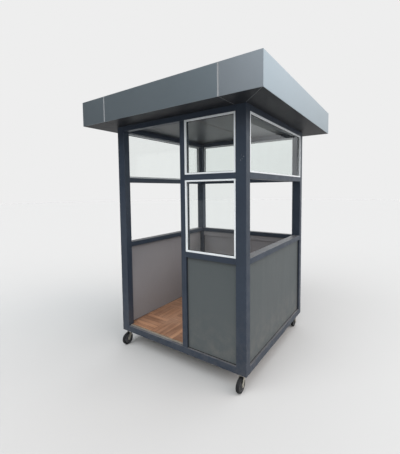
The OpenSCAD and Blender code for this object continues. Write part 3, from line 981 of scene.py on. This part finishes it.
def soffit_joints():
    """Pale sealed strips in the joints between the soffit boards."""
    bm = bmesh.new()
    half_wide = SOFFIT_JOINT / 2 + 1.0 * MM
    aside = half_wide * math.sqrt(0.5)
    low, high = SOFFIT_Z + 1.2 * MM, SOFFIT_Z + SOFFIT_T - 0.2 * MM
    for wall in WALLS:
        place = wall_matrix(wall)
        half = HALF_LONG[wall]
        far = REACH[wall] - SOFFIT_HALF
        mitre = [
            (-half + aside, -aside), (-half + far + aside, far - aside),
            (-half + far - aside, far + aside), (-half - aside, aside),
        ]
        inside = [(max(-SOFFIT_HALF, x), max(far, y)) for x, y in mitre]
        add_prism(bm, inside, low, high, place)
        for x in SEAMS[wall]:
            left, right = x - half_wide, x + half_wide
            add_prism(bm, [(left, far), (right, far), (right, 0.0), (left, 0.0)], low, high, place)
    add_object("soffit_joint_strips", bm, JOINT)


def soffit():
    """Soffit boards with mitred and straight joints, and a row of rivets along each side."""
    bm = bmesh.new()
    near = -0.6 * MM
    for wall in WALLS:
        half = HALF_LONG[wall]
        far = REACH[wall] - SOFFIT_HALF
        cuts = [None, *SEAMS[wall], None]
        for a, b in zip(cuts, cuts[1:]):
            outline = [
                ((-half + y if a is None else a) + SOFFIT_JOINT / 2, y) for y in (near, far)
            ] + [
                ((half - y if b is None else b) - SOFFIT_JOINT / 2, y) for y in (far, near)
            ]
            add_prism(bm, outline, SOFFIT_Z, SOFFIT_Z + SOFFIT_T, wall_matrix(wall))
    round_edges(bm, bm.edges, 0.6 * MM, 1, clamp=True)
    for wall in WALLS:
        row = REACH[wall] - SOFFIT_HALF + 14 * MM
        for x in spread(-SOFFIT_HALF + 50 * MM, SOFFIT_HALF - 50 * MM, 240 * MM):
            spot = wall_matrix(wall) @ Vector((x, row, SOFFIT_Z))
            add_rivet(bm, spot, (0, 0, -1), 2.6 * MM, 1)
    # the boards' near-black colour is painted shade under the overhang
    boards = add_object("soffit_sheets", bm, (SOFFIT_PAINTED_SHADE, SOFFIT_PAINTED_SHADE))
    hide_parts("soffit_boards")


def ceiling_sheets():
    """The ceiling in two boards, with a cover strip under their joint."""
    bm = bmesh.new()
    split = 0.10
    for x0, x1 in ((-HALF_W, split), (split, HALF_W)):
        lo = (x0 + 0.6 * MM, -HALF_D, SOFFIT_Z)
        hi = (x1 - 0.6 * MM, HALF_D, SOFFIT_Z + SOFFIT_T)
        add_box(bm, lo, hi, bevel=0.5 * MM, segments=1)
    half_wide = 9 * MM
    half_long = HALF_D - 66 * MM
    lo = (split - half_wide, -half_long, SOFFIT_Z - 1.2 * MM)
    add_box(bm, lo, (split + half_wide, half_long, SOFFIT_Z), bevel=0.5 * MM, segments=1, index=1)
    ceiling = add_object("ceiling_sheets", bm, (CEILING, COVER_STRIP))
    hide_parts("ceiling_board")


# ---- castors ----

def rounded_rect(w, h, r, steps=5):
    """Outline of a w by h rectangle with rounded corners."""
    points = []
    for cx, cy, start in ((1, 1, 0), (-1, 1, 90), (-1, -1, 180), (1, -1, 270)):
        for k in range(steps + 1):
            a = math.radians(start + 90 * k / steps)
            points.append((cx * (w / 2 - r) + r * math.cos(a), cy * (h / 2 - r) + r * math.sin(a)))
    return points


def castor_mountings():
    """Top plates with bolts, pressed swivel heads, and the nut under each fork."""
    bm = bmesh.new()
    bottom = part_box("castor_plates")[0].z - BASE_Z
    plate_l, plate_w, plate_t = 105 * MM, 85 * MM, 4 * MM
    bolt_x, bolt_y = 40 * MM, 31 * MM
    head_r = 28 * MM
    pin_r, nut_r, nut_h = 6 * MM, 10 * MM, 6 * MM
    # (outwards from the head's side, down from the plate) in mm
    head = [(4, -0.2), (3, 1), (0, 2.2), (0, 6), (-0.6, 7.4), (-2, 8)]
    head = [(head_r + out * MM, -plate_t - down * MM) for out, down in head]
    head = [(0, -plate_t + 1 * MM), *head, (0, -plate_t - 8 * MM)]
    tip = [(0, bottom), (pin_r - 1 * MM, bottom), (pin_r, bottom + 1 * MM), (0, bottom + 1 * MM)]
    for name in CORNERS:
        x, y = swivel_axis(name)
        at = Matrix.Translation((x, y, BASE_Z))
        add_prism(bm, rounded_rect(plate_l, plate_w, 8 * MM), -plate_t, 0.0, at)
        add_lathe(bm, head, 40, at)
        add_lathe(bm, disc(pin_r, -plate_t, bottom + nut_h - 0.5 * MM), 24, at)
        add_prism(bm, circle(nut_r, 6), bottom + 0.4 * MM, bottom + nut_h, at)
        add_lathe(bm, tip, 20, at)
        for sx in (-1, 1):
            for sy in (-1, 1):
                spot = at @ Vector((sx * bolt_x, sy * bolt_y, -plate_t))
                add_screw(bm, spot, (0, 0, -1), 8.0 * MM)
    piece = add_object("castor_mountings", bm, ZINC)
    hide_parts("castor_plates")


def swivel_axis(name):
    joint = next(j for j in frame["joints"] if j["name"] == "swivel_" + name)
    return joint["pos_m"][0], joint["pos_m"][1]


def axle_place(name):
    joint = next(j for j in frame["joints"] if j["name"] == "roll_" + name)
    return Vector(joint["pos_m"])


def castor_fork(name):
    """Pressed fork: crown with a rolled lip, two tapering legs with stiffening ribs, axle bolt."""
    node = "castor_fork_" + name
    crown_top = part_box(node)[1].z
    x, y = swivel_axis(name)
    axle = axle_place(name)
    t = 4 * MM
    leg_in = 20.3 * MM
    crown_r = 30 * MM
    lug_r = 13 * MM
    bm = bmesh.new()
    at = Matrix.Translation((x, y, 0))
    end = leg_in + t
    under = crown_top - t
    crown = [(max(-end, min(end, px)), py) for px, py in circle(crown_r, 48)]
    add_prism(bm, crown, under, crown_top, at)
    lip = [(crown_r - 5 * MM, under), (crown_r - 7 * MM, under - 1.2 * MM)]
    lip += [(9 * MM, under - 1.2 * MM), (9 * MM, under)]
    add_lathe(bm, lip, 40, at, closed=True)
    half_top = math.sqrt(crown_r ** 2 - end ** 2) - 1 * MM
    points = [Vector((y + half_top, crown_top)), Vector((y - half_top, crown_top))]
    points += [Vector((axle.y + u, axle.z + v)) for u, v in circle(lug_r, 40)]
    outline = [points[i] for i in convex_hull_2d(points)]
    middle = sum(outline, Vector((0, 0))) / len(outline)
    inset = [middle + 0.72 * (point - middle) for point in outline]
    to_yz = Matrix(((0, 0, 1, 0), (1, 0, 0, 0), (0, 1, 0, 0), (0, 0, 0, 1)))
    press = 0.9 * MM
    for sign in (-1, 1):
        a, b = sorted((x + sign * leg_in, x + sign * (end - press)))
        add_plate(bm, outline, a, b, to_yz, 0.4 * MM)
        a, b = sorted((x + sign * (end - 2 * press), x + sign * end))
        add_plate(bm, inset, a, b, to_yz, 0.7 * MM)
    across = Matrix.Translation(axle) @ Matrix.Rotation(math.pi / 2, 4, "Y")
    add_lathe(bm, disc(6 * MM, -end - 1 * MM, end + 1 * MM), 28, across)
    for sign in (-1, 1):
        a, b = sorted((sign * end, sign * (end + 1.2 * MM)))
        add_lathe(bm, disc(11.5 * MM, a, b), 28, across)
        a, b = sorted((sign * (end + 1.0 * MM), sign * (end + 5.8 * MM)))
        add_prism(bm, circle(10 * MM, 6), a, b, across)
    piece = add_object("fork_" + name, bm, ZINC, "castor_" + name)
    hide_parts(node)


def castor_wheel(name):
    """Rubber tyre on a moulded ribbed centre with a bearing cap."""
    node = "castor_wheel_" + name
    lo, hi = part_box(node)
    r = (hi.z - lo.z) / 2
    place = Matrix.Translation(axle_place(name)) @ Matrix.Rotation(math.pi / 2, 4, "Y")
    half_tyre, half_hub = 15 * MM, 20 * MM
    bore = 6.3 * MM
    rim = r - 18 * MM
    bm = bmesh.new()
    round_r = 7 * MM
    tyre = [(rim, -half_tyre + 2.5 * MM), (rim + 3 * MM, -half_tyre + 0.6 * MM), (rim + 6 * MM, -half_tyre)]
    for k in range(7):
        a = math.radians(15 * k - 90)
        tyre.append((r - round_r + round_r * math.cos(a), round_r - half_tyre + round_r * math.sin(a)))
    add_lathe(bm, mirrored(tyre), 64, place, 0, closed=True)
    centre = [
        (bore, -half_hub), (bore + 7 * MM, -half_hub), (bore + 9 * MM, -half_hub + 1.5 * MM),
        (bore + 10 * MM, -8 * MM), (rim - 6 * MM, -6 * MM), (rim - 4 * MM, -half_tyre + 2 * MM),
        (rim + 0.5 * MM, -half_tyre + 1.5 * MM),
    ]
    add_lathe(bm, mirrored(centre), 48, place, 1, closed=True)
    for k in range(8):
        turn = place @ Matrix.Rotation(math.pi / 4 * k, 4, "Z")
        for a, b in ((-11 * MM, -6 * MM), (6 * MM, 11 * MM)):
            add_box(bm, (bore + 9 * MM, -1.4 * MM, a), (rim - 4.5 * MM, 1.4 * MM, b), turn, 0.5 * MM, 1, 1)
    for sign in (-1, 1):
        a, b = sorted((sign * (half_hub - 0.1 * MM), sign * (half_hub + 0.2 * MM)))
        add_lathe(bm, disc(bore + 5 * MM, a, b, bore), 32, place, 2, closed=True)
    piece = add_object("wheel_" + name, bm, (TYRE, HUB, ZINC), "wheel_" + name)
    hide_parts(node)


# ---- stage, light and camera ----

def stage():
    bm = bmesh.new()
    bmesh.ops.create_circle(bm, cap_ends=True, radius=45.0, segments=96)
    mesh = bpy.data.meshes.new("studio_floor")
    bm.to_mesh(mesh)
    bm.free()
    mesh.materials.append(floor_stage())
    floor = new_object("studio_floor", mesh)


def add_lamp(data, place, source):
    """Puts a lamp at place, shining from the direction source. No surface mirrors it."""
    lamp = new_object(data.name, data)
    lamp.location = place
    lamp.rotation_mode = "QUATERNION"
    lamp.rotation_quaternion = source.to_track_quat("Z", "Y")
    lamp.visible_glossy = False
    return lamp


def soft_sun(name, heading, elevation, strength, spread_deg, colour=(1, 1, 1)):
    """A broad soft light from far away, heading and elevation being where it comes from."""
    data = bpy.data.lights.new(name, "SUN")
    data.energy = strength
    data.angle = math.radians(spread_deg)
    data.color = colour
    a, e = math.radians(heading), math.radians(elevation)
    source = Vector((math.cos(a) * math.cos(e), math.sin(a) * math.cos(e), math.sin(e)))
    add_lamp(data, (0, 0, 0), source)


def soft_box(name, place, target, size, power):
    """A square soft light, not seen itself."""
    data = bpy.data.lights.new(name, "AREA")
    data.size = size
    data.energy = power
    add_lamp(data, place, Vector(place) - Vector(target)).visible_camera = False


BACKDROP = 0.855


def light():
    """A plain pale backdrop for the camera. What lights the booth is a soft sky, brighter
    above and to the right, with two broad soft suns and a soft box inside the room."""
    world = bpy.data.worlds.new("studio")
    world.use_nodes = True
    bpy.context.scene.world = world
    w = Nodes(world.node_tree)
    x, y, z = w.xyz(w.coords.outputs["Generated"])
    side = w.maths("ADD", w.maths("MULTIPLY", x, 0.45), w.maths("MULTIPLY", y, 0.20))
    glow = w.maths("MULTIPLY", w.ramp(z, 0.12, 0.42), w.ramp(x, -0.44, -0.32))
    up = w.maths("ADD", w.maths("MULTIPLY", z, 0.55), w.maths("MULTIPLY", glow, 0.66))
    sky = w.tree.nodes["Background"]
    w.feed(sky.inputs["Color"], (0.96, 0.985, 1.0))
    w.feed(sky.inputs["Strength"], w.maths("ADD", w.maths("ADD", side, up), 0.44))
    plain = w.node("ShaderNodeBackground", {"Color": (BACKDROP, BACKDROP, BACKDROP)})
    w.show(w.blend(w.seen(), sky.outputs["Background"], plain.outputs["Background"]))
    soft_sun("key_right", 15.0, 38.0, 0.98, 45.0, (1.0, 0.82, 0.73))
    soft_sun("fill_front", -102.0, 48.0, 1.3, 50.0)
    soft_box("room_box", (0.15, 0.0, 2.26), (-0.1, 0.0, 0.2), 1.0, 3)


EYE = (1.749, -2.776, 1.6773)
YAW, PITCH, ROLL = 34.38, -3.67, -0.573
FOCAL_PX = 287.46
CENTRE_PX = (205.3, 208.14)
FRAME_PX = (400, 454)


def camera():
    """A nearly level view from standing height, off the front right corner."""
    yaw, pitch, roll = (math.radians(a) for a in (YAW, PITCH, ROLL))
    ahead = Vector((-math.sin(yaw) * math.cos(pitch), math.cos(yaw) * math.cos(pitch), math.sin(pitch)))
    right = Vector((math.cos(yaw), math.sin(yaw), 0))
    up = right.cross(ahead)
    right_r = math.cos(roll) * right + math.sin(roll) * up
    up_r = -math.sin(roll) * right + math.cos(roll) * up
    data = bpy.data.cameras.new("camera")
    data.sensor_width = 36.0
    data.lens = FOCAL_PX * data.sensor_width / max(FRAME_PX)
    data.shift_x = (FRAME_PX[0] / 2 - CENTRE_PX[0]) / max(FRAME_PX)
    data.shift_y = (CENTRE_PX[1] - FRAME_PX[1] / 2) / max(FRAME_PX)
    cam = new_object("camera", data)
    turn = Matrix((right_r, up_r, -ahead)).transposed().to_4x4()
    cam.matrix_world = Matrix.Translation(EYE) @ turn
    bpy.context.scene.camera = cam


camera()
light()
stage()
dress_frame()
lower_panels()
panel_beads()
panel_screws()
pale_frame_spots()
windows()
dress("floor_board", PLY, 0.5 * MM, 1)
floor_covering()
threshold()
fascia_sheets()
roof_cap()
roof_sheet()
soffit()
soffit_joints()
ceiling_sheets()
castor_mountings()
for corner in CORNERS:
    castor_fork(corner)
    castor_wheel(corner)
bpy.context.scene.view_settings.view_transform = "Standard"

bpy.context.view_layer.update()
